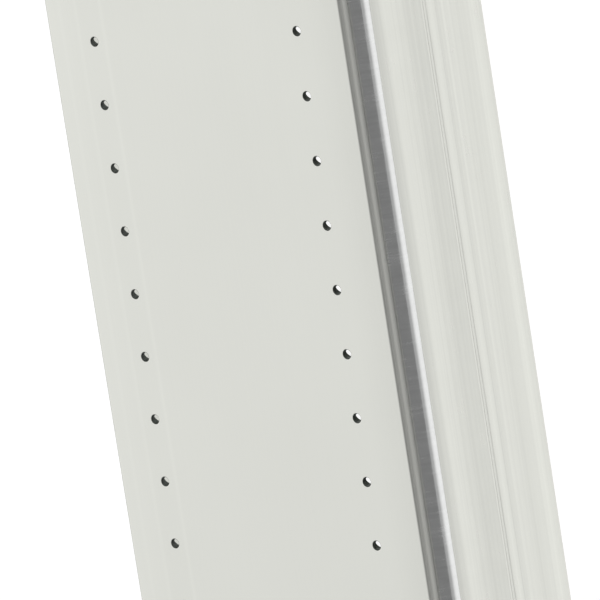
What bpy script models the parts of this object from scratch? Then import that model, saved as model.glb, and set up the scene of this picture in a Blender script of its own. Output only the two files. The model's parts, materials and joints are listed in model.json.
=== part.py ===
"""An aluminium scaffold plank that hangs on two ledger tubes.

X runs along the plank, Y across it and Z up. The origin is under the middle of the plank, on the
plane of its rail feet. Sizes are in metres.
"""

import math

import bmesh
import bpy
from mathutils import Matrix, Vector

# Overall sizes
HOOK_SPAN = 2.070  # from tube centre to tube centre
WIDTH = 0.304
HEIGHT = 0.165  # from the rail feet to the top of the deck

# Clearances
GAP = 0.0003  # between pieces that touch
RUNNING_GAP = 0.0005  # beside a moving piece, and round a bead

# Side rail
BEAD_RADIUS = 0.012
BEAD_DROP = 0.0229  # from the top of the deck to the middle of the bead
KEYWAY_RADIUS = 0.0075
WEB_THICKNESS = 0.0028
WEB_INSET = 0.0025  # from the outermost line of the bead to the web
BAND_DROP = 0.0907  # from the top of the deck to the top of the band
BAND_HEIGHT = 0.0178
BAND_PROUD = 0.0005
LIP_HEIGHT = 0.034
LIP_SLOPE = 0.023  # height over which the lip swells to its full width
FOOT_WIDTH = 0.035
FOOT_THICKNESS = 0.003

# Deck
DECK_THICKNESS = 0.003
FLANGE_THICKNESS = 0.0028
FLANGE_CLEARANCE = 0.0004  # on each side of the flange, in the slot of the bead
BULB_RADIUS = 0.0055
RIB_THICKNESS = 0.0022
RIB_DEPTH = 0.008
RIB_OFFSET = 0.013  # from a row of holes to the ribs beside it
HOLE_RADIUS = 0.00425
HOLE_PITCH = 0.050
ROW_INSET = 0.040  # from the middle of the bead to the row of holes

# Cross members and end plates
MEMBER_WIDTH = 0.040
MEMBER_DEPTH = 0.047
MEMBER_WALL = 0.003
INNER_MEMBER_PITCHES = 6.5  # hole pitches from the middle, so that it lies between two holes
RIVET_SPACING = 0.022
RIVET_RADIUS = 0.0024
END_PLATE_THICKNESS = 0.003
END_SCREW_RADIUS = 0.003
END_SCREW_Y = 0.080

# Hooks, for a tube along Y at each end
TUBE_RADIUS = 0.02415
TUBE_CLEARANCE = 0.00085  # on each side of the tube, in the mouth
SEAT_DROP = 0.018  # from the top of the deck to the seat of the hook
SEAT_CORNER = 0.015
CROWN_DROP = 0.003  # from the top of the deck to the top of the hook
NECK_WIDTH = 0.0215
NOSE_WIDTH = 0.012
NOSE_BELOW_TUBE = 0.015  # from the middle of the tube down to the tip of the hook
HOOK_THICKNESS = 0.010
SHANK_LENGTH = 0.115
SHANK_DEPTH = 0.042
HOOK_BOLT_RADIUS = 0.005
HOOK_BOLT_SPACING = 0.050
HOOK_BOLT_INSET = 0.030  # from the end of the rail to the nearest bolt
HOOK_BOLT_HEAD_RADIUS = 0.009
HOOK_NUT_HEIGHT = 0.008
HOOK_NUT_ACROSS = 0.017

# Wind locks
LOCK_THICKNESS = 0.008
LOCK_BOSS_RADIUS = 0.008
LOCK_ARM_HEIGHT = 0.010
LOCK_TAIL = 0.013
LOCK_PIVOT_INSET = 0.012  # from the mouth of the hook
LOCK_PIVOT_DROP = 0.0147  # from the bottom of the tube
LOCK_BOLT_RADIUS = 0.004
LOCK_NUT_HEIGHT = 0.006
LOCK_NUT_ACROSS = 0.013
STOP_PIN_RADIUS = 0.003

# What follows from them
HALF_WIDTH = WIDTH / 2
BEAD_Y = HALF_WIDTH - BEAD_RADIUS
BEAD_Z = HEIGHT - BEAD_DROP
WEB_OUTER = HALF_WIDTH - WEB_INSET
WEB_INNER = WEB_OUTER - WEB_THICKNESS
DECK_UNDERSIDE = HEIGHT - DECK_THICKNESS
ROW_Y = BEAD_Y - ROW_INSET
TUBE_X = HOOK_SPAN / 2
TUBE_Z = HEIGHT - SEAT_DROP - TUBE_RADIUS
MOUTH_HALF = TUBE_RADIUS + TUBE_CLEARANCE
NECK_START = TUBE_X - MOUTH_HALF - NECK_WIDTH
BODY_END = NECK_START - END_PLATE_THICKNESS - RUNNING_GAP
MEMBER_TOP = DECK_UNDERSIDE - RIB_DEPTH - GAP
MEMBER_BOTTOM = MEMBER_TOP - MEMBER_DEPTH
END_MEMBER_X = BODY_END - GAP - MEMBER_WIDTH / 2
COPE_Z = BEAD_Z - BEAD_RADIUS - RUNNING_GAP
RIVET_Z = (MEMBER_BOTTOM + COPE_Z) / 2
SHANK_TOP = MEMBER_BOTTOM - GAP * 8
SHANK_BOTTOM = SHANK_TOP - SHANK_DEPTH
HOOK_Y = WEB_INNER - GAP - HOOK_THICKNESS / 2
HOOK_INNER = HOOK_Y - HOOK_THICKNESS / 2
HOOK_BOLT_Z = HEIGHT - BAND_DROP + BAND_PROUD + 2 * GAP + HOOK_BOLT_HEAD_RADIUS
LOCK_Y = HOOK_INNER - RUNNING_GAP - LOCK_THICKNESS / 2
LOCK_INNER = LOCK_Y - LOCK_THICKNESS / 2
LOCK_X = TUBE_X - MOUTH_HALF - LOCK_PIVOT_INSET
LOCK_Z = TUBE_Z - TUBE_RADIUS - LOCK_PIVOT_DROP
LOCK_REACH = math.hypot(TUBE_X - LOCK_X, TUBE_Z - LOCK_Z) - TUBE_RADIUS - 2 * RUNNING_GAP
STOP_X = LOCK_X - LOCK_TAIL + STOP_PIN_RADIUS
STOP_Z = LOCK_Z + LOCK_ARM_HEIGHT / 2 + GAP + STOP_PIN_RADIUS

ENDS = {"left": -1, "right": 1}
SIDES = {"front": -1, "rear": 1}
LOCKED_HOOKS = (("left", "front"), ("right", "rear"))
UP = (0, 0, 1)


def collection(name):
    made = bpy.data.collections.new(name)
    bpy.context.scene.collection.children.link(made)
    return made


def material(name, colour, roughness):
    made = bpy.data.materials.new(name)
    made.use_nodes = True
    shader = made.node_tree.nodes["Principled BSDF"]
    shader.inputs["Base Color"].default_value = (*colour, 1)
    shader.inputs["Roughness"].default_value = roughness
    shader.inputs["Metallic"].default_value = 1
    return made


def matrix(origin, along, up):
    """A frame at origin, with its X along, its Y up and its Z square to both."""
    along, up = Vector(along), Vector(up)
    axes = Matrix((along, up, along.cross(up))).transposed().to_4x4()
    axes.translation = origin
    return axes


def add(name, mesh, finish, placing=None):
    """An object of the plank, at the place that the matrix gives."""
    made = bpy.data.objects.new(name, mesh)
    PARTS.objects.link(made)
    made.parent = PLANK
    made.matrix_world = placing or Matrix()
    if not mesh.materials:
        mesh.materials.append(finish)
    return made


def add_cutter(name, mesh, placing=None):
    made = bpy.data.objects.new(name, mesh)
    CUTTERS.objects.link(made)
    made.matrix_world = placing or Matrix()
    made.hide_render = True
    made.display_type = "WIRE"
    return made


def cut(target, cutter):
    boolean = target.modifiers.new(cutter.name, "BOOLEAN")
    boolean.operation = "DIFFERENCE"
    boolean.object = cutter


def boxes(name, corners):
    """One mesh of closed boxes, each from its lowest to its highest corner."""
    shape = bmesh.new()
    for low, high in corners:
        low, high = Vector(low), Vector(high)
        size = Matrix.Diagonal((*(high - low), 1))
        bmesh.ops.create_cube(shape, matrix=Matrix.Translation((low + high) / 2) @ size)
    return finished(shape, name)


def cylinders(name, middles, axis, radius, length, sides):
    """One mesh of closed cylinders of one size along an axis."""
    turn = Vector(axis).to_track_quat("Z", "Y").to_matrix().to_4x4()
    shape = bmesh.new()
    for middle in middles:
        bmesh.ops.create_cone(
            shape, cap_ends=True, segments=sides, radius1=radius, radius2=radius, depth=length,
            matrix=Matrix.Translation(middle) @ turn,
        )
    return finished(shape, name)


def finished(shape, name):
    mesh = bpy.data.meshes.new(name)
    shape.to_mesh(mesh)
    shape.free()
    return mesh


def arc(centre, radius, start, end, steps):
    """Points on a circle, from the start angle to the end angle in radians."""
    angles = [start + (end - start) * step / steps for step in range(steps + 1)]
    return [(centre[0] + radius * math.cos(a), centre[1] + radius * math.sin(a)) for a in angles]


def circle(centre, radius, sides=12):
    return arc(centre, radius, 0, 2 * math.pi * (sides - 1) / sides, sides - 1)


def rounded(corners, steps=4):
    """A closed outline through corners given as across, up and the radius that rounds them."""
    points = []
    for before, corner, after in zip(corners[-1:] + corners[:-1], corners, corners[1:] + corners[:1]):
        here, radius = Vector(corner[:2]), corner[2]
        if not radius:
            points.append(tuple(here))
            continue
        back = (Vector(before[:2]) - here).normalized()
        ahead = (Vector(after[:2]) - here).normalized()
        half = back.angle(ahead) / 2
        centre = here + (back + ahead).normalized() * radius / math.sin(half)
        first = here + back * radius / math.tan(half) - centre
        last = here + ahead * radius / math.tan(half) - centre
        points += [tuple(centre + radius * first.slerp(last, step / steps)) for step in range(steps + 1)]
    return points


def extruded(name, outlines, thickness):
    """A flat outline, with any holes after it, made into a plate centred on its own plane."""
    curve = bpy.data.curves.new(name, "CURVE")
    curve.dimensions = "2D"
    curve.fill_mode = "BOTH"
    curve.extrude = thickness / 2
    for outline in outlines:
        spline = curve.splines.new("POLY")
        spline.points.add(len(outline) - 1)
        for point, place in zip(spline.points, outline):
            point.co = (*place, 0, 1)
        spline.use_cyclic_u = True
    guide = bpy.data.objects.new(name, curve)
    CUTTERS.objects.link(guide)
    mesh = bpy.data.meshes.new_from_object(guide.evaluated_get(bpy.context.evaluated_depsgraph_get()))
    bpy.data.objects.remove(guide)
    bpy.data.curves.remove(curve)
    shape = bmesh.new()
    shape.from_mesh(mesh)
    bmesh.ops.remove_doubles(shape, verts=shape.verts, dist=1e-6)
    bmesh.ops.recalc_face_normals(shape, faces=shape.faces)
    shape.to_mesh(mesh)
    shape.free()
    mesh.materials.clear()
    mesh.name = name
    return mesh


def turned(name, profile, finish, origin, axis, steps=12):
    """A profile of radius and height, from the top down, turned round the axis."""
    mesh = bpy.data.meshes.new(name)
    edges = [(i, i + 1) for i in range(len(profile) - 1)]
    mesh.from_pydata([(radius, 0, height) for radius, height in profile], edges, [])
    along = Vector((0, 0, 1)) if abs(axis[2]) < 0.5 else Vector((1, 0, 0))
    made = add(name, mesh, finish, matrix(origin, along, Vector(axis).cross(along)))
    screw = made.modifiers.new("turn", "SCREW")
    screw.steps = screw.render_steps = steps
    screw.use_merge_vertices = True
    screw.merge_threshold = 1e-5
    screw.use_smooth_shade = True
    return made


def fastener_profile(head_radius, head_height, shank_radius, shank_length):
    """A low domed head over a plain shank. Height 0 is the underside of the head."""
    return [
        (0, head_height),
        (head_radius * 0.55, head_height * 0.88),
        (head_radius, head_height * 0.3),
        (head_radius, 0),
        (shank_radius, 0),
        (shank_radius, -shank_length),
        (0, -shank_length),
    ]


def rail_outline():
    """The section of a rail, seen along the plank, with the outside of the plank to the right."""
    bead = (BEAD_Y, BEAD_Z)
    slot_half = FLANGE_THICKNESS / 2 + FLANGE_CLEARANCE
    mouth = math.asin(slot_half / BEAD_RADIUS)
    throat = math.asin(slot_half / KEYWAY_RADIUS)
    outer_join = math.acos((WEB_OUTER - BEAD_Y) / BEAD_RADIUS)
    inner_join = math.acos((WEB_INNER - BEAD_Y) / BEAD_RADIUS)
    right, full = math.pi / 2, 2 * math.pi
    band_top, band_bottom = HEIGHT - BAND_DROP, HEIGHT - BAND_DROP - BAND_HEIGHT
    points = arc(bead, BEAD_RADIUS, right - mouth, -outer_join, 10)
    points += [
        (WEB_OUTER, band_top + BAND_PROUD),
        (WEB_OUTER + BAND_PROUD, band_top),
        (WEB_OUTER + BAND_PROUD, band_bottom),
        (WEB_OUTER, band_bottom - BAND_PROUD),
    ]
    points += [(WEB_OUTER, LIP_HEIGHT), (HALF_WIDTH, LIP_HEIGHT - LIP_SLOPE)]
    points += arc((WEB_OUTER, WEB_INSET), WEB_INSET, 0, -right, 4)
    points += [
        (WEB_OUTER - FOOT_WIDTH, 0),
        (WEB_OUTER - FOOT_WIDTH, FOOT_THICKNESS),
        (WEB_INNER, FOOT_THICKNESS),
    ]
    points += arc(bead, BEAD_RADIUS, -inner_join, right + mouth - full, 12)
    points += arc(bead, KEYWAY_RADIUS, right + throat, right - throat + full, 14)
    return points


def add_rail(name, side):
    """A rail lies the same way round on both sides, because it is turned, not mirrored."""
    placing = matrix((0, 0, 0), (0, side, 0), UP)
    rail = add(name, extruded(name, [rail_outline()], 2 * BODY_END), ALUMINIUM, placing)
    across = side * (WEB_INNER + WEB_OUTER) / 2
    through = 4 * WEB_THICKNESS
    rivets = [(x, across, RIVET_Z) for x in rivet_xs()]
    bolts = [(x, across, HOOK_BOLT_Z) for x in hook_bolt_xs()]
    cutter = cylinders(name + "_rivet_cutter", rivets, (0, 1, 0), RIVET_RADIUS + GAP, through, 10)
    cut(rail, add_cutter(cutter.name, cutter))
    cutter = cylinders(name + "_bolt_cutter", bolts, (0, 1, 0), HOOK_BOLT_RADIUS + GAP, through, 12)
    cut(rail, add_cutter(cutter.name, cutter))


def deck_outline():
    """The section of the deck: a top wall, two ribs beside each row and a bulb on each flange."""
    half = FLANGE_THICKNESS / 2
    neck = math.acos(half / BULB_RADIUS)
    side = [(BEAD_Y + half, HEIGHT)]
    side += arc((BEAD_Y, BEAD_Z), BULB_RADIUS, neck, -math.pi - neck, 10)
    side.append((BEAD_Y - half, DECK_UNDERSIDE))
    for rib in (ROW_Y + RIB_OFFSET, ROW_Y - RIB_OFFSET):
        outer, inner = rib + RIB_THICKNESS / 2, rib - RIB_THICKNESS / 2
        side += [(outer, DECK_UNDERSIDE), (outer, DECK_UNDERSIDE - RIB_DEPTH)]
        side += [(inner, DECK_UNDERSIDE - RIB_DEPTH), (inner, DECK_UNDERSIDE)]
    return side + [(-across, up) for across, up in reversed(side)]


def hole_xs():
    """Where the drain holes lie along the plank, clear of the end members."""
    room = BODY_END - GAP - MEMBER_WIDTH - 2 * HOLE_RADIUS
    each_way = int(room / HOLE_PITCH)
    return [step * HOLE_PITCH for step in range(-each_way, each_way + 1)]


def add_deck():
    placing = matrix((0, 0, 0), (0, 1, 0), UP)
    deck = add("deck_panel", extruded("deck_panel", [deck_outline()], 2 * BODY_END), ALUMINIUM, placing)
    middle = HEIGHT - DECK_THICKNESS / 2
    middles = [(x, side * ROW_Y, middle) for x in hole_xs() for side in SIDES.values()]
    cutter = cylinders("drain_hole_cutter", middles, UP, HOLE_RADIUS, 3 * DECK_THICKNESS, 10)
    cut(deck, add_cutter(cutter.name, cutter))


def member_xs():
    inner = INNER_MEMBER_PITCHES * HOLE_PITCH
    return [-END_MEMBER_X, -inner, inner, END_MEMBER_X]


def rivet_xs():
    return [x + step * RIVET_SPACING / 2 for x in member_xs() for step in (-1, 1)]


def hook_bolt_xs():
    """Where the hook bolts lie along the plank, on both ends of a rail."""
    outer = BODY_END - HOOK_BOLT_INSET
    return [end * x for end in ENDS.values() for x in (outer, outer - HOOK_BOLT_SPACING)]


def add_member(name, x):
    """A pressed channel, open below, whose top is coped round the beads of both rails."""
    half, end = MEMBER_WIDTH / 2, WEB_INNER - GAP
    member = add(name, boxes(name, [((x - half, -end, MEMBER_BOTTOM), (x + half, end, MEMBER_TOP))]), PRESSED)
    inside = half - MEMBER_WALL
    hollow = ((x - inside, MEMBER_WALL - end, MEMBER_BOTTOM - MEMBER_WALL),
              (x + inside, end - MEMBER_WALL, MEMBER_TOP - MEMBER_WALL))
    cope_y = BEAD_Y - BEAD_RADIUS - RUNNING_GAP
    copes = [((x - MEMBER_WIDTH, min(y), COPE_Z), (x + MEMBER_WIDTH, max(y), MEMBER_TOP + MEMBER_WALL))
             for y in ((cope_y, HALF_WIDTH), (-cope_y, -HALF_WIDTH))]
    cut(member, add_cutter(name + "_hollow_cutter", boxes(name + "_hollow_cutter", [hollow])))
    cut(member, add_cutter(name + "_cope_cutter", boxes(name + "_cope_cutter", copes)))
    rivets = [(x + step * RIVET_SPACING / 2, side * (end - MEMBER_WALL / 2), RIVET_Z)
              for step in (-1, 1) for side in SIDES.values()]
    drill = cylinders(name + "_rivet_cutter", rivets, (0, 1, 0), RIVET_RADIUS + GAP, 3 * MEMBER_WALL, 10)
    cut(member, add_cutter(drill.name, drill))
    if abs(x) == END_MEMBER_X:
        drill_for_end_screws(member, math.copysign(1, x))


def end_screw_places(end, x):
    middle = (MEMBER_TOP + MEMBER_BOTTOM) / 2
    return [(end * x, side * END_SCREW_Y, middle) for side in SIDES.values()]


def drill_for_end_screws(target, end):
    middles = end_screw_places(end, BODY_END)
    length = 3 * (MEMBER_WALL + END_PLATE_THICKNESS)
    name = target.name + "_screw_cutter"
    drill = cylinders(name, middles, (1, 0, 0), END_SCREW_RADIUS + GAP, length, 10)
    cut(target, add_cutter(name, drill))


def add_rivets():
    """Blind rivets: a domed head outside the web and a formed tail inside the member."""
    seat = WEB_OUTER + GAP
    grip = seat - (WEB_INNER - GAP - MEMBER_WALL - GAP)
    tail = RIVET_RADIUS * 1.5
    head = 2.1 * RIVET_RADIUS
    profile = [
        (0, HALF_WIDTH - GAP - seat),
        (head * 0.6, (HALF_WIDTH - seat) * 0.7),
        (head, 0),
        (RIVET_RADIUS, 0),
        (RIVET_RADIUS, -grip),
        (tail, -grip - RIVET_RADIUS / 2),
        (tail, -grip - RIVET_RADIUS),
        (0, -grip - 2 * RIVET_RADIUS),
    ]
    places = [(x, side) for side in SIDES.values() for x in rivet_xs()]
    for number, (x, side) in enumerate(places, 1):
        turned(f"rivet_{number:02}", profile, RIVET, (x, side * seat, RIVET_Z), (0, side, 0), 10)


def add_end_plate(name, end):
    """A plate across the end of the deck, screwed to the end member."""
    near, far = BODY_END + GAP, BODY_END + GAP + END_PLATE_THICKNESS - RUNNING_GAP / 2
    half = LOCK_INNER - RUNNING_GAP
    low, high = sorted((end * near, end * far))
    shape = boxes(name, [((low, -half, MEMBER_BOTTOM), (high, half, HEIGHT))])
    plate = add(name, shape, PRESSED)
    drill_for_end_screws(plate, end)
    bevel = plate.modifiers.new("edges", "BEVEL")
    bevel.width, bevel.segments, bevel.limit_method = 0.0006, 1, "ANGLE"
    shank = far - near + MEMBER_WALL + 2 * GAP + 2 * END_SCREW_RADIUS
    profile = fastener_profile(1.8 * END_SCREW_RADIUS, END_SCREW_RADIUS, END_SCREW_RADIUS, shank)
    for number, place in enumerate(end_screw_places(end, far + GAP), 1):
        turned(f"{name}_screw_{number}", profile, ZINC, place, (end, 0, 0), 10)


def hook_outline():
    """The outline of a hook plate: a shank inside the rail, a neck, and a mouth over the tube."""
    start = BODY_END - SHANK_LENGTH
    inner, outer = TUBE_X - MOUTH_HALF, TUBE_X + MOUTH_HALF
    seat, crown = HEIGHT - SEAT_DROP, HEIGHT - CROWN_DROP
    tip = TUBE_Z - NOSE_BELOW_TUBE
    lead_in = NOSE_WIDTH / 2
    return rounded([
        (start, SHANK_BOTTOM, 0.006),
        (start, SHANK_TOP, 0.006),
        (NECK_START, SHANK_TOP, 0),
        (NECK_START, crown, 0.012),
        (outer + NOSE_WIDTH, crown, 0.016),
        (outer + NOSE_WIDTH, tip, 0.003),
        (outer + lead_in, tip, 0),
        (outer, tip + lead_in, 0),
        (outer, seat, SEAT_CORNER),
        (inner, seat, SEAT_CORNER),
        (inner, SHANK_BOTTOM, 0.010),
    ])


def add_hook(end_name, side_name):
    """A hook plate. Its own X axis points out of the end of the plank."""
    end, side = ENDS[end_name], SIDES[side_name]
    holes = [circle((abs(x), HOOK_BOLT_Z), HOOK_BOLT_RADIUS + GAP) for x in hook_bolt_xs() if x > 0]
    if (end_name, side_name) in LOCKED_HOOKS:
        holes.append(circle((LOCK_X, LOCK_Z), LOCK_BOLT_RADIUS + GAP))
        holes.append(circle((STOP_X, STOP_Z), STOP_PIN_RADIUS + GAP, 10))
    name = f"hook_{end_name}_{side_name}"
    mesh = extruded(name, [hook_outline()] + holes, HOOK_THICKNESS)
    add(name, mesh, ZINC, matrix((0, side * HOOK_Y, 0), (end, 0, 0), UP))


def add_nut(name, across, height, bolt_radius, origin, axis):
    """A hexagon nut with its outer face at the origin."""
    corners = circle((0, 0), across / math.sqrt(3), 6)
    mesh = extruded(name, [corners, circle((0, 0), bolt_radius + GAP)], height)
    axis = Vector(axis)
    placing = matrix(Vector(origin) - axis * height / 2, (1, 0, 0), axis.cross(Vector((1, 0, 0))))
    add(name, mesh, ZINC, placing)


def add_hook_bolts():
    seat = WEB_OUTER + GAP
    nut_face = HOOK_INNER - GAP
    shank = seat - nut_face + HOOK_NUT_HEIGHT + GAP * 4
    profile = fastener_profile(HOOK_BOLT_HEAD_RADIUS, HALF_WIDTH - seat, HOOK_BOLT_RADIUS, shank)
    places = [(x, side) for side in SIDES.values() for x in hook_bolt_xs()]
    for number, (x, side) in enumerate(places, 1):
        axis = (0, side, 0)
        turned(f"hook_bolt_{number}", profile, ZINC, (x, side * seat, HOOK_BOLT_Z), axis)
        face = (x, side * nut_face, HOOK_BOLT_Z)
        add_nut(f"hook_nut_{number}", HOOK_NUT_ACROSS, HOOK_NUT_HEIGHT, HOOK_BOLT_RADIUS, face, axis)


def lock_outline():
    """The flap of a wind lock, about its pivot: an arm that reaches under the tube, and a tail."""
    half = LOCK_ARM_HEIGHT / 2
    tip = math.sqrt(LOCK_REACH**2 - half**2)
    return rounded([
        (-LOCK_TAIL, half, 0.002),
        (tip, half, 0.001),
        (tip, 0, 0.002),
        (LOCK_BOSS_RADIUS, -LOCK_BOSS_RADIUS, 0.006),
        (-LOCK_BOSS_RADIUS, -LOCK_BOSS_RADIUS, 0.006),
        (-LOCK_TAIL, 0, 0.002),
    ])


def add_wind_lock(end_name, side_name):
    """A flap on the inside of a hook, with its origin on the pivot, and what holds it there."""
    end, side = ENDS[end_name], SIDES[side_name]
    name, axis = f"wind_lock_{end_name}", (0, side, 0)
    bore = circle((0, 0), LOCK_BOLT_RADIUS + RUNNING_GAP)
    mesh = extruded(name, [lock_outline(), bore], LOCK_THICKNESS)
    add(name, mesh, ZINC, matrix((end * LOCK_X, side * LOCK_Y, LOCK_Z), (end, 0, 0), UP))

    head_seat = HOOK_INNER + HOOK_THICKNESS + GAP
    nut_face = LOCK_INNER - RUNNING_GAP
    shank = head_seat - nut_face + LOCK_NUT_HEIGHT + GAP * 4
    profile = fastener_profile(1.7 * LOCK_BOLT_RADIUS, 0.8 * LOCK_BOLT_RADIUS, LOCK_BOLT_RADIUS, shank)
    turned(f"lock_bolt_{end_name}", profile, ZINC, (end * LOCK_X, side * head_seat, LOCK_Z), axis)
    face = (end * LOCK_X, side * nut_face, LOCK_Z)
    add_nut(f"lock_nut_{end_name}", LOCK_NUT_ACROSS, LOCK_NUT_HEIGHT, LOCK_BOLT_RADIUS, face, axis)

    length = HOOK_INNER + HOOK_THICKNESS - LOCK_INNER
    pin = [(0, 0), (STOP_PIN_RADIUS, 0), (STOP_PIN_RADIUS, -length), (0, -length)]
    origin = (end * STOP_X, side * (HOOK_INNER + HOOK_THICKNESS), STOP_Z)
    turned(f"lock_stop_{end_name}", pin, ZINC, origin, axis, 10)


for old in list(bpy.data.objects):
    bpy.data.objects.remove(old)

PARTS = collection("scaffold_plank")
CUTTERS = collection("cutters")
PLANK = bpy.data.objects.new("plank", None)
PARTS.objects.link(PLANK)

ALUMINIUM = material("mill_finish_aluminium", (0.68, 0.68, 0.66), 0.38)
PRESSED = material("pressed_aluminium", (0.60, 0.60, 0.59), 0.45)
RIVET = material("rivet_aluminium", (0.62, 0.63, 0.63), 0.32)
ZINC = material("zinc_plated_steel", (0.52, 0.54, 0.56), 0.36)

add_deck()
for side_name, side in SIDES.items():
    add_rail(f"{side_name}_rail", side)
for number, x in enumerate(member_xs(), 1):
    add_member(f"cross_member_{number}", x)
add_rivets()
for end_name, end in ENDS.items():
    add_end_plate(f"end_plate_{end_name}", end)
    for side_name in SIDES:
        add_hook(end_name, side_name)
add_hook_bolts()
for end_name, side_name in LOCKED_HOOKS:
    add_wind_lock(end_name, side_name)
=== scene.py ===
"""The looks of an aluminium scaffold plank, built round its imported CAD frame.

X runs along the plank, Y across it and Z up, in metres, as in the frame. The long pieces are swept
from their sections, the plates are bevelled outlines and the fasteners are turned profiles.
"""

import json
import math

import bmesh
import bpy
from mathutils import Matrix, Vector


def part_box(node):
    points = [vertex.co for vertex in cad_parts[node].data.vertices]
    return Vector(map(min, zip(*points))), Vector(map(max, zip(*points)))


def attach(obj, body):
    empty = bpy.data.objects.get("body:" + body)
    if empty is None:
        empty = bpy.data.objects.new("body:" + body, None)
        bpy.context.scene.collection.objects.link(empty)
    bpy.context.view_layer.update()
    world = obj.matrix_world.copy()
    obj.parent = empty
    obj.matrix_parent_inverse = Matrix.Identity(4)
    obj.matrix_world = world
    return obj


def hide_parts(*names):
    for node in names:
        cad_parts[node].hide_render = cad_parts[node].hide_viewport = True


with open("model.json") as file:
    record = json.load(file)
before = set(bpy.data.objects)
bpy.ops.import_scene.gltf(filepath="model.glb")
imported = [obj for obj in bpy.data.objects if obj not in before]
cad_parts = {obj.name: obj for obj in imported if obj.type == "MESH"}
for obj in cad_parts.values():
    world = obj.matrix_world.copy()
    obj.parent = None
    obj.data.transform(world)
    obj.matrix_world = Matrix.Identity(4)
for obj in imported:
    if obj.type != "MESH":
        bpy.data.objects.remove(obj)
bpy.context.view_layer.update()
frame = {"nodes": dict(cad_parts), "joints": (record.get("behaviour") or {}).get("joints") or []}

# Camera, as the photograph was taken: the plank's own X axis points up the picture
LOOK_AT = (-0.0071, -0.0627)  # on the top of the deck
VIEW = (0.167, -0.625, 0.763)  # from there towards the camera
ROLL = math.radians(8.9)
DISTANCE = 5.0
LENS = 394
SENSOR = 36

# Sizes that the frame gives
END, DECK_HALF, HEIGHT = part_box("deck_panel")[1]
HALF_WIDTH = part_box("rear_rail")[1].y

# Deck
DECK_THICKNESS = 0.003
DECK_EDGE = 0.0036  # radius that rounds its long edges
FLANGE_THICKNESS = 0.0028
BULB_RADIUS = 0.0055
RIB_THICKNESS = 0.0022
RIB_DEPTH = 0.008
RIB_OFFSET = 0.013
ROW_Y = 0.100
HOLE_PITCH = 0.050
HOLES_EACH_WAY = 18
HOLE_RADIUS = 0.0035  # inside the rounded rim
HOLE_RIM = 0.0008
COLLAR_DEPTH = 0.0045  # from the top of the deck to the middle of the torn lower edge
COLLAR_SKEW = 0.8  # how far the torn edge drops for each step towards the left end
COLLAR_WALL = 0.0006
COLLAR_LEAST = 0.0002  # how far the collar reaches under the deck where it is shortest
STRIP_HALF = 0.010  # half the width of the strip of deck that the holes are set in

# Rail
BEAD_RADIUS = 0.012
BEAD_DROP = 0.0229
KEYWAY_RADIUS = 0.0075
SLOT_HALF = 0.0018
WEB_THICKNESS = 0.0028
WEB_INSET = 0.0025
BAND_TOP = HEIGHT - 0.0907
BAND_BOTTOM = BAND_TOP - 0.0178
BAND_PROUD = 0.0005
BAND_SLOPE = 0.0012
GROOVE_DROPS = (0.0026, 0.0060)  # from the top of the band
GROOVE_HALF = 0.00035
GROOVE_DEPTH = 0.00018
LIP_HEIGHT = 0.034
LIP_SLOPE = 0.023  # height over which the lip swells to its full width
CREASE_RADIUS = 0.003  # between the bead and the web
FOOT_WIDTH = 0.035
FOOT_THICKNESS = 0.003
FOOT_EDGE = 0.001

BEAD_Y = HALF_WIDTH - BEAD_RADIUS
BEAD_Z = HEIGHT - BEAD_DROP
WEB_OUTER = HALF_WIDTH - WEB_INSET
WEB_INNER = WEB_OUTER - WEB_THICKNESS

# Hooks and wind locks
NOSE_WIDTH = 0.012
MOUTH_WIDTH = 0.050
NECK_WIDTH = 0.0215
SHANK_DEPTH = 0.042
SEAT_THICKNESS = 0.015
NOSE_DEPTH = 0.03915  # from the seat of the hook down to the tip of its nose
HOOK_EDGE = 0.0009
LOCK_BOSS = 0.008
LOCK_HALF = 0.005
LOCK_EDGE = 0.0006

# Pressed pieces and fasteners
MEMBER_EDGE = 0.0011
PLATE_EDGE = 0.0007
HOOK_BOLT_RADIUS = 0.005
LOCK_BOLT_RADIUS = 0.004
SCREW_RADIUS = 0.003
RIVET_RADIUS = 0.0024
THREAD_PITCH = 0.00125
NUT_CHAMFER = 0.10  # as a part of the nut's width

WELD = 1e-6  # points closer than this are one point

ENDS = {"left": -1, "right": 1}
SIDES = {"front": -1, "rear": 1}

# Light
FLOOR_SIZE = 30
FLOOR_GREY = 0.25
FLOOR_SEEN = 0.90  # how brightly the floor glows for the camera
FLOOR_NEAR, FLOOR_FAR = 0.95, 0.30  # and in reflections, which fade as on a sweep lit from above
FLOOR_FADE = (0.24, 0.62)  # the distances across the plank between which it fades
FLOOR_STRETCH = 4  # how much further than that it reaches along the plank
SKY_BRIGHT = 1.12
SKY_DARK = 0.25
BEHIND = (0.0, 0.62)  # where the dark card in front ends, as the Y of a direction
CARD_MIDDLE = -0.12  # the X of the card's middle
CARD_HALF = (0.42, 0.78)  # where it ends on either side
SKY_FALL = (0.93, 1.04)  # how the sky brightens towards the top of the picture
SKY_FALL_OVER = (-0.28, -0.06)  # and the X of the directions between which it does


def node(tree, kind, inputs, **settings):
    """A shader node with its inputs linked to sockets or set to values."""
    made = tree.nodes.new("ShaderNode" + kind)
    for name, value in settings.items():
        setattr(made, name, value)
    for key, value in inputs.items():
        if isinstance(value, bpy.types.NodeSocket):
            tree.links.new(value, made.inputs[key])
        else:
            made.inputs[key].default_value = value
    return made


def stretched_noise(tree, scale, detail=3, roughness=0.55):
    """Noise whose grain is drawn out by giving each axis its own scale, in cycles per metre."""
    place = node(tree, "TexCoord", {}).outputs["Object"]
    drawn = node(tree, "Mapping", {"Vector": place, "Scale": scale}).outputs["Vector"]
    noise = node(tree, "TexNoise", {"Vector": drawn, "Scale": 1, "Detail": detail, "Roughness": roughness})
    return noise.outputs["Fac"]


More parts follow.
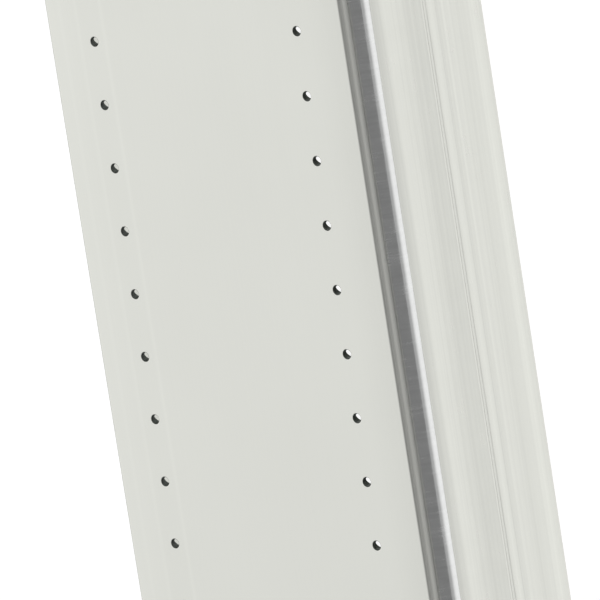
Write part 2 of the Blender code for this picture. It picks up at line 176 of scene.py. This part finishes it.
def ranged(tree, value, low, high, start=0.3, stop=0.7):
    """The value, which runs from start to stop, brought to run from low to high."""
    return node(tree, "MapRange", {
        "Value": value, "From Min": start, "From Max": stop, "To Min": low, "To Max": high,
    }).outputs["Result"]


def smooth(tree, value, edges, low, high):
    """Runs smoothly from low to high as the value passes from the first edge to the second."""
    return node(tree, "MapRange", {
        "Value": value, "From Min": edges[0], "From Max": edges[1], "To Min": low, "To Max": high,
    }, interpolation_type="SMOOTHSTEP").outputs["Result"]


def distance_from(tree, value, place):
    off = node(tree, "Math", {0: value, 1: place}, operation="SUBTRACT").outputs["Value"]
    return node(tree, "Math", {0: off}, operation="ABSOLUTE").outputs["Value"]


def product(tree, first, second):
    return node(tree, "Math", {0: first, 1: second}, operation="MULTIPLY").outputs["Value"]


def tone_and_shade_line(tree, axis, place, half, gain):
    """One plus gain on a line across the Y or Z axis, fading to one at half its width either way."""
    axes = node(tree, "SeparateXYZ", {"Vector": node(tree, "TexCoord", {}).outputs["Object"]}).outputs
    return smooth(tree, distance_from(tree, axes[axis], place), (0, half), 1 + gain, 1)


def metal(name, colour, roughness, grain, mottle, shade, spread, depth=2e-5, bands=0, tone_and_shade_lines=()):
    """A metal with a grain of fine lines and a faint mottle.

    grain is the scale of the lines on each axis, mottle the scale of the clouds, shade how far
    both vary the colour, spread how far they vary the roughness, and depth how deep the lines are.
    bands is how far broad streaks along the grain vary the colour, and the last argument lists the
    axis, place, half width and gain of lines painted along the surface: faint lighter lines on the deck,
    and painted shade and painted highlights on the web.
    """
    made = bpy.data.materials.new(name)
    made.use_nodes = True
    tree = made.node_tree
    shader = tree.nodes["Principled BSDF"]
    shader.inputs["Metallic"].default_value = 1
    lines = stretched_noise(tree, grain, 4)
    clouds = stretched_noise(tree, (mottle,) * 3, 3)
    bright = product(
        tree, ranged(tree, lines, 1 - shade, 1 + shade), ranged(tree, clouds, 1 - shade / 2, 1 + shade / 2)
    )
    if bands:
        broad = stretched_noise(tree, [scale / 3 for scale in grain], 2)
        bright = product(tree, bright, ranged(tree, broad, 1 - bands, 1 + bands))
    # The lines: faint lighter ones on the deck, painted shade and painted highlights on the web
    for line in tone_and_shade_lines:
        bright = product(tree, bright, tone_and_shade_line(tree, *line))
    tint = node(tree, "VectorMath", {0: colour, "Scale": bright}, operation="SCALE").outputs["Vector"]
    tree.links.new(tint, shader.inputs["Base Color"])
    rough = node(tree, "Math", {
        0: ranged(tree, lines, -spread, spread),
        1: ranged(tree, clouds, roughness - spread, roughness + spread),
    }, operation="ADD").outputs["Value"]
    tree.links.new(rough, shader.inputs["Roughness"])
    bump = node(tree, "Bump", {"Height": lines, "Distance": depth, "Strength": 1}).outputs["Normal"]
    tree.links.new(bump, shader.inputs["Normal"])
    return made


# Lines painted along the deck and the web: where each lies, half its width, and how much brighter it is.
# On the web most of them are painted shade and painted highlights.
DECK_LINES = [("Y", y, half, gain) for y, half, gain in (
    (ROW_Y + RIB_OFFSET + 0.001, 0.003, 0.020),
    (ROW_Y - RIB_OFFSET + 0.002, 0.003, 0.028),
    (0.1305, 0.003, 0.014),
)]
WEB_SHADE_AND_HIGHLIGHT_LINES = [("Z", HEIGHT - drop, half, gain) for drop, half, gain in (
    # painted shade on the web under the bead and in the crease
    (0.032, 0.014, -0.13),
    # a slightly lighter band below that
    (0.050, 0.010, 0.03),
    # painted shade along the top edge of the band and by its lower groove
    (0.0907, 0.0012, -0.06),
    (0.0956, 0.0012, -0.06),
    # a slightly lighter line across the band
    (0.102, 0.004, 0.03),
    # painted shade along the bottom edge of the band
    (0.1085, 0.0012, -0.07),
    # painted highlight on the swelling lip
    (0.151, 0.008, 0.06),
)]
DECK_METAL = metal(
    "deck_aluminium", (0.70, 0.707, 0.663), 0.36, (1.5, 420, 420), 7, 0.008, 0.02, tone_and_shade_lines=DECK_LINES
)
WEB_METAL = metal(
    "web_aluminium", (0.675, 0.681, 0.637), 0.34, (1.2, 330, 330), 40, 0.04, 0.05, 4e-5, 0.05, WEB_SHADE_AND_HIGHLIGHT_LINES
)
FLANGE_SHADED_METAL = metal(  # for the rounded edge of the deck and the flange under it: a darker copy of the deck's aluminium, painted shade
    "flange_aluminium_painted_shade", (0.625, 0.627, 0.598), 0.75, (2, 500, 500), 20, 0.05, 0.05
)
# A lighter copy of the rail's aluminium for its bead, which is one extrusion with the web: painted
# highlight
BEAD_HIGHLIT_METAL = metal("bead_aluminium_painted_highlight", (0.745, 0.752, 0.747), 0.20, (1100, 30, 30), 60, 0.06, 0.07, 9e-5)
# Near black for the hole walls and most of the rounding of their rims: painted shade inside the holes
HOLE_SHADE_METAL = metal("punched_hole_wall_painted_shade", (0.10, 0.11, 0.10), 0.55, (200, 200, 900), 300, 0.1, 0.05)
PRESSED_METAL = metal("pressed_aluminium", (0.62, 0.62, 0.60), 0.42, (60, 6, 60), 25, 0.04, 0.05)
RIVET_METAL = metal("rivet_aluminium", (0.66, 0.67, 0.67), 0.30, (300, 300, 300), 80, 0.05, 0.05)
ZINC_METAL = metal("zinc_plated_steel", (0.53, 0.55, 0.58), 0.33, (220, 220, 220), 45, 0.12, 0.08, 6e-5)


def arc(centre, radius, start, end, steps):
    """Points on a circle, from the start angle to the end angle in radians."""
    angles = [start + (end - start) * step / steps for step in range(steps + 1)]
    return [(centre[0] + radius * math.cos(a), centre[1] + radius * math.sin(a)) for a in angles]


def piece(name, shape, materials, body, replaced, sharp=35):
    """The finished mesh as a piece that rides on a body and stands for the CAD nodes."""
    bmesh.ops.recalc_face_normals(shape, faces=shape.faces)
    mesh = bpy.data.meshes.new(name)
    shape.to_mesh(mesh)
    shape.free()
    mesh.shade_smooth()
    mesh.set_sharp_from_angle(angle=math.radians(sharp))
    for material in materials:
        mesh.materials.append(material)
    made = bpy.data.objects.new(name, mesh)
    bpy.context.scene.collection.objects.link(made)
    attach(made, body)
    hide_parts(*replaced)
    return made


def swept(shape, section, stations, left_out=lambda a, b, step: False):
    """Sweeps a closed section of (y, z) points along X and caps it. Returns the rows of vertices."""
    rows = [[shape.verts.new((x, y, z)) for y, z in section] for x in stations]
    count = len(section)
    for step, (here, there) in enumerate(zip(rows, rows[1:])):
        for i in range(count):
            j = (i + 1) % count
            if not left_out(section[i], section[j], step):
                shape.faces.new((here[i], here[j], there[j], there[i]))
    shape.faces.new(rows[0])
    shape.faces.new(rows[-1])
    return rows


def ring(shape, centre, radius, z, steps, torn=False):
    """A level ring, or one that drops to the left as the lower edge of a collar does."""
    made = []
    for step in range(steps):
        angle = 2 * math.pi * step / steps
        x, y = radius * math.cos(angle), radius * math.sin(angle)
        drop = min(z + COLLAR_SKEW * x, HEIGHT - DECK_THICKNESS - COLLAR_LEAST) if torn else z
        made.append(shape.verts.new((centre[0] + x, centre[1] + y, drop)))
    return made


def join_to_corners(shape, corners, rim):
    """Fills the flat face between a rectangle, from its corner at +x +y round, and a ring inside it."""
    quarter = len(rim) // 4
    for number, corner in enumerate(corners):
        start = number * quarter
        for step in range(start, start + quarter):
            shape.faces.new((corner, rim[step], rim[(step + 1) % len(rim)]))
        shape.faces.new((corner, rim[(start + quarter) % len(rim)], corners[(number + 1) % 4]))


def deck_section():
    """Half of the deck's section and its mirror image, with the edges of the hole strips as points."""
    under = HEIGHT - DECK_THICKNESS
    half = FLANGE_THICKNESS / 2
    neck = math.acos(half / BULB_RADIUS)
    strip = (ROW_Y - STRIP_HALF, ROW_Y + STRIP_HALF)
    side = [(y, HEIGHT) for y in strip]
    side += arc((DECK_HALF - DECK_EDGE, HEIGHT - DECK_EDGE), DECK_EDGE, math.pi / 2, 0, 8)
    side += arc((BEAD_Y, BEAD_Z), BULB_RADIUS, neck, -math.pi - neck, 32)
    side.append((BEAD_Y - half, under))
    for rib, edge in ((ROW_Y + RIB_OFFSET, strip[1]), (ROW_Y - RIB_OFFSET, None)):
        outer, inner = rib + RIB_THICKNESS / 2, rib - RIB_THICKNESS / 2
        if edge is None:
            side.append((strip[0], under))
        side += [(outer, under), (outer, under - RIB_DEPTH), (inner, under - RIB_DEPTH), (inner, under)]
        if edge is not None:
            side.append((edge, under))
    return side + [(-y, z) for y, z in reversed(side)]


def in_hole_strip(a, b, step):
    """Whether a face of the deck, top or underside, is one that the holes are set in."""
    level = math.isclose(a[1], b[1])
    middle = math.isclose(abs(a[0] + b[0]) / 2, ROW_Y)
    width = math.isclose(abs(a[0] - b[0]), 2 * STRIP_HALF)
    return level and middle and width and 0 < step <= 2 * HOLES_EACH_WAY + 1


def hole_profile():
    """Radius, height and whether the edge is torn, down the hole and back up outside its collar."""
    bottom, under = HEIGHT - COLLAR_DEPTH, HEIGHT - DECK_THICKNESS
    rounding = arc((HOLE_RADIUS + HOLE_RIM, HEIGHT - HOLE_RIM), HOLE_RIM, math.pi / 2, math.pi, 5)
    outer = HOLE_RADIUS + COLLAR_WALL
    return [
        (HOLE_RADIUS + 1.5 * HOLE_RIM, HEIGHT, False),
        *((radius, z, False) for radius, z in rounding),
        (HOLE_RADIUS, bottom, True),
        (outer, bottom, True),
        (outer, under, False),
    ]


def add_hole(shape, x, y, corners_above, corners_below, steps=40):
    """One drain hole, joined to the rectangles above and below that it is set in."""
    rims = [ring(shape, (x, y), radius, z, steps, torn) for radius, z, torn in hole_profile()]
    for level, (above, below) in enumerate(zip(rims, rims[1:])):
        for i in range(steps):
            j = (i + 1) % steps
            face = shape.faces.new((above[i], above[j], below[j], below[i]))
            # below the first steps of the rim the faces take the near-black metal, painted shade in the
            # hole
            face.material_index = 1 if level > 1 else 0
    join_to_corners(shape, corners_above, rims[0])
    join_to_corners(shape, corners_below, rims[-1])


def strip_corners(section, strips, near, far):
    """The corners of the rectangles above and below a hole, each from its corner at +x +y round."""
    made = []
    for i in sorted(strips, key=lambda i: -section[i][1]):
        high, low = sorted((i, i + 1), key=lambda k: -section[k][0])
        made.append([far[high], near[high], near[low], far[low]])
    return made


def add_deck():
    shape = bmesh.new()
    section = deck_section()
    inner = [HOLE_PITCH * (step - 0.5) for step in range(-HOLES_EACH_WAY, HOLES_EACH_WAY + 2)]
    rows = swept(shape, section, [-END, *inner, END], in_hole_strip)
    ends = zip(section, section[1:] + section[:1])
    strips = [i for i, (a, b) in enumerate(ends) if in_hole_strip(a, b, 1)]
    for step in range(1, len(rows) - 2):
        for y in (-ROW_Y, ROW_Y):
            beside = [i for i in strips if section[i][0] * y > 0]
            above, below = strip_corners(section, beside, rows[step], rows[step + 1])
            add_hole(shape, (step - 1 - HOLES_EACH_WAY) * HOLE_PITCH, y, above, below)
    for face in shape.faces:
        middle = face.calc_center_median()
        on_top = middle.z > HEIGHT - DECK_EDGE / 8
        # the rounded edge and the flange below it take the darker flange metal: painted shade
        if abs(middle.y) > DECK_HALF - DECK_EDGE and not on_top:
            face.material_index = 2
    metals = [DECK_METAL, HOLE_SHADE_METAL, FLANGE_SHADED_METAL]
    piece("deck", shape, metals, "plank", ["deck_panel"])


def groove(z):
    """A fine groove run into the band by the die."""
    outer = WEB_OUTER + BAND_PROUD
    return [(outer, z + GROOVE_HALF), (outer - GROOVE_DEPTH, z), (outer, z - GROOVE_HALF)]


def rail_section():
    """The section of the rail on the rear side, from the slot in the bead round by the outside."""
    bead = (BEAD_Y, BEAD_Z)
    right, full = math.pi / 2, 2 * math.pi
    mouth = math.asin(SLOT_HALF / BEAD_RADIUS)
    throat = math.asin(SLOT_HALF / KEYWAY_RADIUS)
    inner_join = math.acos((WEB_INNER - BEAD_Y) / BEAD_RADIUS)
    bead_outside = arc(bead, BEAD_RADIUS, right - mouth, crease_angle(), 48)
    web = crease()
    web += [(WEB_OUTER, BAND_TOP + BAND_SLOPE), (WEB_OUTER + BAND_PROUD, BAND_TOP)]
    for drop in GROOVE_DROPS:
        web += groove(BAND_TOP - drop)
    web += [(WEB_OUTER + BAND_PROUD, BAND_BOTTOM), (WEB_OUTER, BAND_BOTTOM - BAND_SLOPE)]
    web += lip()
    web += arc((WEB_OUTER, WEB_INSET), WEB_INSET, 0, -right, 8)
    foot_end = (WEB_OUTER - FOOT_WIDTH + FOOT_EDGE, FOOT_EDGE)
    web += arc(foot_end, FOOT_EDGE, -right, -2 * right, 4)
    web += arc((foot_end[0], FOOT_THICKNESS - FOOT_EDGE), FOOT_EDGE, -2 * right, -3 * right, 4)
    web += arc((WEB_INNER - FOOT_THICKNESS, 2 * FOOT_THICKNESS), FOOT_THICKNESS, -right, 0, 6)
    bead_inside = arc(bead, BEAD_RADIUS, -inner_join, right + mouth - full, 48)
    keyway = arc(bead, KEYWAY_RADIUS, right + throat, right - throat + full, 40)
    return bead_outside + web + bead_inside + keyway


def crease_angle():
    """Where on the bead the hollow between it and the web starts."""
    return -math.acos((WEB_OUTER + CREASE_RADIUS - BEAD_Y) / (BEAD_RADIUS + CREASE_RADIUS))


def crease():
    """The hollow between the bead and the web, touching both."""
    angle = crease_angle()
    centre = (WEB_OUTER + CREASE_RADIUS, BEAD_Z + (BEAD_RADIUS + CREASE_RADIUS) * math.sin(angle))
    return arc(centre, CREASE_RADIUS, math.pi + angle, math.pi, 6)[1:]


def lip():
    """The swelling at the bottom of the web, which starts and ends level with the web's own plane."""
    steps = 12
    points = []
    for step in range(steps + 1):
        share = step / steps
        eased = share * share * (3 - 2 * share)
        points.append((WEB_OUTER + WEB_INSET * eased, LIP_HEIGHT - LIP_SLOPE * share))
    return points


def add_rail(name, side):
    shape = bmesh.new()
    swept(shape, [(side * y, z) for y, z in rail_section()], [-END, END])
    radius = BEAD_RADIUS * 1.001
    for face in shape.faces:
        middle = face.calc_center_median()
        # faces on the bead take the lighter bead metal: painted highlight
        if math.hypot(abs(middle.y) - BEAD_Y, middle.z - BEAD_Z) < radius and len(face.verts) == 4:
            face.material_index = 1
    piece(name, shape, [WEB_METAL, BEAD_HIGHLIT_METAL], "plank", [name.replace("_side", "_rail")])


def rounded(corners, steps=10):
    """A closed outline through corners given as across, up and the radius that rounds them."""
    points = []
    for before, corner, after in zip(corners[-1:] + corners[:-1], corners, corners[1:] + corners[:1]):
        here, radius = Vector(corner[:2]), corner[2]
        if not radius:
            points.append(tuple(here))
            continue
        back = (Vector(before[:2]) - here).normalized()
        ahead = (Vector(after[:2]) - here).normalized()
        half = back.angle(ahead) / 2
        centre = here + (back + ahead).normalized() * radius / math.sin(half)
        first = here + back * radius / math.tan(half) - centre
        last = here + ahead * radius / math.tan(half) - centre
        points += [tuple(centre + radius * first.slerp(last, step / steps)) for step in range(steps + 1)]
    return points


def plate(outline, low, high, edge):
    """A plate with rounded edges: an outline of (x, z) points that fills from y low to y high."""
    curve = bpy.data.curves.new("outline", "CURVE")
    curve.dimensions = "2D"
    curve.fill_mode = "BOTH"
    curve.extrude = (high - low) / 2 - edge
    curve.bevel_depth = edge
    curve.bevel_resolution = 3
    curve.offset = -edge
    spline = curve.splines.new("POLY")
    spline.points.add(len(outline) - 1)
    for point, (x, z) in zip(spline.points, outline):
        point.co = (x, z, 0, 1)
    spline.use_cyclic_u = True
    guide = bpy.data.objects.new("outline", curve)
    bpy.context.scene.collection.objects.link(guide)
    mesh = bpy.data.meshes.new_from_object(guide.evaluated_get(bpy.context.evaluated_depsgraph_get()))
    bpy.data.objects.remove(guide)
    bpy.data.curves.remove(curve)
    shape = bmesh.new()
    shape.from_mesh(mesh)
    bpy.data.meshes.remove(mesh)
    bmesh.ops.remove_doubles(shape, verts=shape.verts, dist=WELD)
    standing = Matrix(((1, 0, 0, 0), (0, 0, 1, (low + high) / 2), (0, 1, 0, 0), (0, 0, 0, 1)))
    shape.transform(standing)
    return shape


def softened(node_name, edge):
    """A copy of a CAD node with its long sharp edges rounded."""
    shape = bmesh.new()
    shape.from_mesh(frame["nodes"][node_name].data)
    bmesh.ops.remove_doubles(shape, verts=shape.verts, dist=WELD)
    bmesh.ops.dissolve_limit(shape, angle_limit=math.radians(1), verts=shape.verts, edges=shape.edges)
    sharp = [e for e in shape.edges if e.calc_face_angle(0) > math.radians(40)]
    long_edges = [e for e in sharp if e.calc_length() > 2.5 * edge]
    bmesh.ops.bevel(shape, geom=long_edges, offset=edge, segments=4, profile=0.5, affect="EDGES")
    return shape


def add_pressed(name, kind, edge):
    shape = softened(name, edge)
    piece(f"{name}_{kind}", shape, [PRESSED_METAL], "plank", [name])


def turned(profile, placing, steps=48):
    """A profile turned round Z and placed. Its points are radius and height, and True for a hexagon."""
    shape = bmesh.new()
    rings = []
    for radius, height, *hexagonal in profile:
        if radius == 0:
            rings.append([shape.verts.new((0, 0, height))] * steps)
            continue
        made = []
        for step in range(steps):
            angle = 2 * math.pi * step / steps
            from_flat = (angle + math.pi / 6) % (math.pi / 3) - math.pi / 6
            reach = radius / math.cos(from_flat) if hexagonal else radius
            made.append(shape.verts.new((reach * math.cos(angle), reach * math.sin(angle), height)))
        rings.append(made)
    for above, below in zip(rings, rings[1:]):
        for i in range(steps):
            j = (i + 1) % steps
            corners = dict.fromkeys((above[i], above[j], below[j], below[i]))
            shape.faces.new(list(corners))
    bmesh.ops.remove_doubles(shape, verts=shape.verts, dist=WELD)
    shape.transform(placing)
    return shape


def facing(origin, axis):
    """A frame at origin whose Z is the axis."""
    return Matrix.Translation(origin) @ Vector(axis).to_track_quat("Z", "Y").to_matrix().to_4x4()


def dome(radius, height, steps=6):
    """The profile of a low dome, from its top to its rim, which is level with the origin."""
    angles = [math.pi / 2 * step / steps for step in range(steps + 1)]
    return [(radius * math.sin(a), height * math.cos(a)) for a in angles]


def thread(radius, start, end):
    """The profile of a threaded shank down to its chamfered end."""
    depth = THREAD_PITCH * 0.3
    points, height = [], start
    while height - THREAD_PITCH > end + depth:
        points += [(radius, height), (radius - depth, height - THREAD_PITCH / 2)]
        height -= THREAD_PITCH
    return points + [(radius, height), (radius - depth, end), (0, end)]


def add_fastener(name, axis, profile_of, material):
    """Turns a fastener in place of a CAD one. profile_of gets the length and the greatest radius."""
    low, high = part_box(name)
    middle, size, axis = (low + high) / 2, high - low, Vector(axis)
    length = abs(size.dot(axis))
    across = next(extent for extent, part in zip(size, axis) if part == 0)
    shape = turned(profile_of(length, across / 2), facing(middle + axis * length / 2, axis))
    piece(name + "_turned", shape, [material], "plank", [name], 30)


def add_hook(end_name, side_name):
    name, end = f"hook_{end_name}_{side_name}", ENDS[end_name]
    low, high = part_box(name)
    near, far = sorted((abs(low.x), abs(high.x)))
    outer = far - NOSE_WIDTH
    inner = outer - MOUTH_WIDTH
    seat = high.z - SEAT_THICKNESS
    tip = seat - NOSE_DEPTH
    outline = rounded([
        (near, low.z, 0.006),
        (near, low.z + SHANK_DEPTH, 0.006),
        (inner - NECK_WIDTH, low.z + SHANK_DEPTH, 0),
        (inner - NECK_WIDTH, high.z, 0.012),
        (far, high.z, 0.016),
        (far, tip, 0.003),
        (outer + NOSE_WIDTH / 2, tip, 0.001),
        (outer, tip + NOSE_WIDTH / 2, 0.001),
        (outer, seat, 0.015),
        (inner, seat, 0.015),
        (inner, low.z, 0.010),
    ])
    shape = plate([(end * x, z) for x, z in outline], low.y, high.y, HOOK_EDGE)
    piece(name + "_plate", shape, [ZINC_METAL], "plank", [name])


def add_wind_lock(end_name):
    name, end = f"wind_lock_{end_name}", ENDS[end_name]
    low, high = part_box(name)
    joint = next(joint for joint in frame["joints"] if joint["child"] == name)
    x, _, z = joint["pos_m"]
    tip = max(end * low.x, end * high.x) - end * x
    tail = end * x - min(end * low.x, end * high.x)
    outline = rounded([
        (-tail, LOCK_HALF, 0.002),
        (tip, LOCK_HALF, 0.001),
        (tip, 0, 0.002),
        (LOCK_BOSS, -LOCK_BOSS, 0.006),
        (-LOCK_BOSS, -LOCK_BOSS, 0.006),
        (-tail, 0, 0.002),
    ])
    shape = plate([(x + end * across, z + up) for across, up in outline], low.y, high.y, LOCK_EDGE)
    piece(name + "_flap", shape, [ZINC_METAL], name, [name])


def domed_bolt(shank_radius, head_height):
    """The profile of a bolt with a low domed head, from the top of the head down to the thread."""
    def profile(length, radius):
        head = [(r, h - head_height) for r, h in dome(radius, head_height * 0.75)]
        shank = thread(shank_radius, -head_height - shank_radius, -length)
        return head + [(shank_radius, -head_height)] + shank
    return profile


def socket_screw(shank_radius):
    """The profile of a button-head screw with a hexagon socket."""
    def profile(length, radius):
        head = radius * 0.55
        socket = shank_radius * 0.62
        crown = [(r, h - head) for r, h in dome(radius, head * 0.95) if r > socket * 1.2]
        return [
            (0, -head * 0.7),
            (socket, -head * 0.7, True),
            (socket, -head * 0.12, True),
            (socket * 1.18, -head * 0.06),
            *crown,
            (shank_radius, -head),
            *thread(shank_radius, -head - shank_radius, -length),
        ]
    return profile


def nut(bolt_radius):
    """The profile of a chamfered hexagon nut, down its outside and back up its bore."""
    def profile(length, radius):
        flat, chamfer = radius, 2 * radius * NUT_CHAMFER
        bore = bolt_radius * 1.01
        return [
            (bore, 0),
            (flat * 0.96, 0),
            (flat, -chamfer * 0.55, True),
            (flat, chamfer * 0.55 - length, True),
            (flat * 0.96, -length),
            (bore, -length),
            (bore, 0),
        ]
    return profile


def blind_rivet(length, radius):
    """The profile of a blind rivet: a domed head round the dimple left by its mandrel, and a tail."""
    head = HALF_WIDTH - WEB_OUTER
    dimple = RIVET_RADIUS * 0.45
    crown = [(r, h - head) for r, h in dome(radius, head * 0.9) if r > dimple * 1.3]
    tail = length - 3 * RIVET_RADIUS
    return [
        (0, -head * 0.45),
        (dimple, -head * 0.45),
        (dimple * 1.15, -head * 0.12),
        *crown,
        (RIVET_RADIUS, -head),
        (RIVET_RADIUS, -tail),
        (1.4 * RIVET_RADIUS, -tail - RIVET_RADIUS * 0.6),
        (1.45 * RIVET_RADIUS, -tail - 1.4 * RIVET_RADIUS),
        (RIVET_RADIUS, -tail - 2.4 * RIVET_RADIUS),
        (0, -length),
    ]


def plain_pin(length, radius):
    chamfer = radius * 0.2
    half = [(0, 0), (radius - chamfer, 0), (radius, -chamfer)]
    return half + [(across, -length - up) for across, up in reversed(half)]


def nodes_named(start):
    return sorted(name for name in frame["nodes"] if name.startswith(start))


def outward(name):
    """The direction across the plank, towards the outside, of the side that a CAD node is on."""
    low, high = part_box(name)
    return (0, math.copysign(1, low.y + high.y), 0)


def add_fasteners():
    head = HALF_WIDTH - WEB_OUTER
    for start, profile, material, slot in (
        ("rivet_", blind_rivet, RIVET_METAL, "rivet_aluminium"),
        ("hook_bolt_", domed_bolt(HOOK_BOLT_RADIUS, head), ZINC_METAL, "zinc_steel"),
        ("lock_bolt_", domed_bolt(LOCK_BOLT_RADIUS, LOCK_BOLT_RADIUS * 0.8), ZINC_METAL, "zinc_steel"),
        ("hook_nut_", nut(HOOK_BOLT_RADIUS), ZINC_METAL, "zinc_steel"),
        ("lock_nut_", nut(LOCK_BOLT_RADIUS), ZINC_METAL, "zinc_steel"),
        ("lock_stop_", plain_pin, ZINC_METAL, "zinc_steel"),
    ):
        for name in nodes_named(start):
            add_fastener(name, outward(name), profile, material)
    for end_name, end in ENDS.items():
        for name in nodes_named(f"end_plate_{end_name}_screw_"):
            add_fastener(name, (end, 0, 0), socket_screw(SCREW_RADIUS), ZINC_METAL)


def add_camera():
    centre = Vector((*LOOK_AT, HEIGHT))
    back = Vector(VIEW).normalized()
    along = Vector((1, 0, 0))
    up = (along - along.dot(back) * back).normalized()
    axes = Matrix((up.cross(back), up, back)).transposed().to_4x4()
    camera = bpy.data.objects.new("camera", bpy.data.cameras.new("camera"))
    camera.data.lens = LENS
    camera.data.sensor_width = SENSOR
    camera.data.clip_end = 100
    roll = Matrix.Rotation(-ROLL, 4, "Z")
    camera.matrix_world = Matrix.Translation(centre + DISTANCE * back) @ axes @ roll
    bpy.context.scene.collection.objects.link(camera)
    bpy.context.scene.camera = camera


def floor_paint():
    """A white floor that glows evenly for the camera and fades with distance in reflections."""
    paint = bpy.data.materials.new("floor")
    paint.use_nodes = True
    tree = paint.node_tree
    shader = tree.nodes["Principled BSDF"]
    shader.inputs["Base Color"].default_value = (FLOOR_GREY, FLOOR_GREY, FLOOR_GREY, 1)
    shader.inputs["Roughness"].default_value = 0.8
    shader.inputs["Emission Color"].default_value = (1, 1, 1, 1)
    place = node(tree, "NewGeometry", {}).outputs["Position"]
    stretch = (1 / FLOOR_STRETCH, 1, 0)
    drawn = node(tree, "VectorMath", {0: place, 1: stretch}, operation="MULTIPLY").outputs["Vector"]
    away = node(tree, "VectorMath", {0: drawn}, operation="LENGTH").outputs["Value"]
    mirrored = smooth(tree, away, FLOOR_FADE, FLOOR_NEAR, FLOOR_FAR)
    seen = node(tree, "LightPath", {}).outputs["Is Camera Ray"]
    glow = node(tree, "Mix", {"Factor": seen, "A": mirrored, "B": FLOOR_SEEN}, data_type="FLOAT")
    tree.links.new(glow.outputs["Result"], shader.inputs["Emission Strength"])
    return paint


def add_floor():
    mesh = bpy.data.meshes.new("floor")
    half = FLOOR_SIZE / 2
    corners = [(-half, -half, 0), (half, -half, 0), (half, half, 0), (-half, half, 0)]
    mesh.from_pydata(corners, [], [(0, 1, 2, 3)])
    mesh.materials.append(floor_paint())
    floor = bpy.data.objects.new("floor", mesh)
    bpy.context.scene.collection.objects.link(floor)


def light_the_studio():
    """A wide soft light all round, with a dark card from over the plank down to the front."""
    world = bpy.data.worlds.new("studio")
    world.use_nodes = True
    tree = world.node_tree
    place = node(tree, "TexCoord", {}).outputs["Generated"]
    axes = node(tree, "SeparateXYZ", {"Vector": place}).outputs
    away = distance_from(tree, axes["X"], CARD_MIDDLE)
    card = product(tree, smooth(tree, away, CARD_HALF, 1, 0), smooth(tree, axes["Y"], BEHIND, 1, 0))
    sky = ranged(tree, card, SKY_BRIGHT, SKY_DARK, 0, 1)
    fall = ranged(tree, axes["X"], *SKY_FALL, *SKY_FALL_OVER)
    background = tree.nodes["Background"]
    tree.links.new(product(tree, sky, fall), background.inputs["Strength"])
    background.inputs["Color"].default_value = (1, 1, 1, 1)
    bpy.context.scene.world = world


add_deck()
for side_name, side in SIDES.items():
    add_rail(f"{side_name}_side", side)
for name in nodes_named("cross_member_"):
    add_pressed(name, "channel", MEMBER_EDGE)
for end_name in ENDS:
    add_pressed(f"end_plate_{end_name}", "pressing", PLATE_EDGE)
    for side_name in SIDES:
        add_hook(end_name, side_name)
    add_wind_lock(end_name)
add_fasteners()
add_camera()
add_floor()
light_the_studio()
bpy.context.scene.view_settings.view_transform = "Standard"
